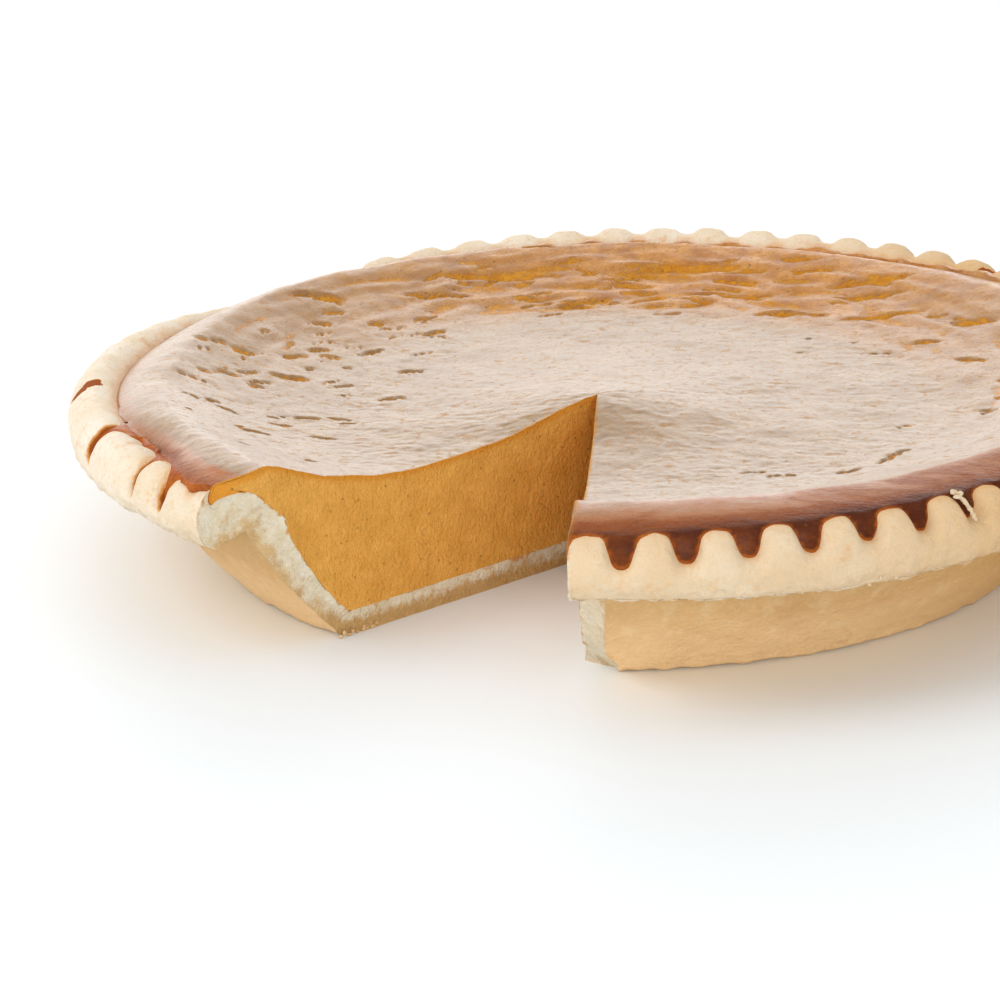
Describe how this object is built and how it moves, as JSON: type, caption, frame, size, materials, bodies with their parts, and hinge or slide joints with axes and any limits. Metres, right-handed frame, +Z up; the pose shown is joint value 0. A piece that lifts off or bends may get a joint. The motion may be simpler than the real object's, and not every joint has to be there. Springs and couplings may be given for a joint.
{
  "type": "pumpkin pie",
  "caption": "Round baked pumpkin pie with a crimped pastry rim, a slice cut out and the custard showing at the cuts.",
  "frame": {"origin": "on the pie's axis, at the middle of its flat underside", "axes": "+Z up; the missing slice opens towards -Y, between straight ahead and the -X -Y diagonal"},
  "size_m": [0.247, 0.2467, 0.0422],
  "materials": {
    "pastry": "dry baked shortcrust, pale blond on the rim and golden on the wall",
    "custard": "set pumpkin custard with a satin tan skin, glossy brown at its edge"
  },
  "bodies": {
    "root": {"crust": "pastry", "filling": "custard"}
  },
  "joints": []
}
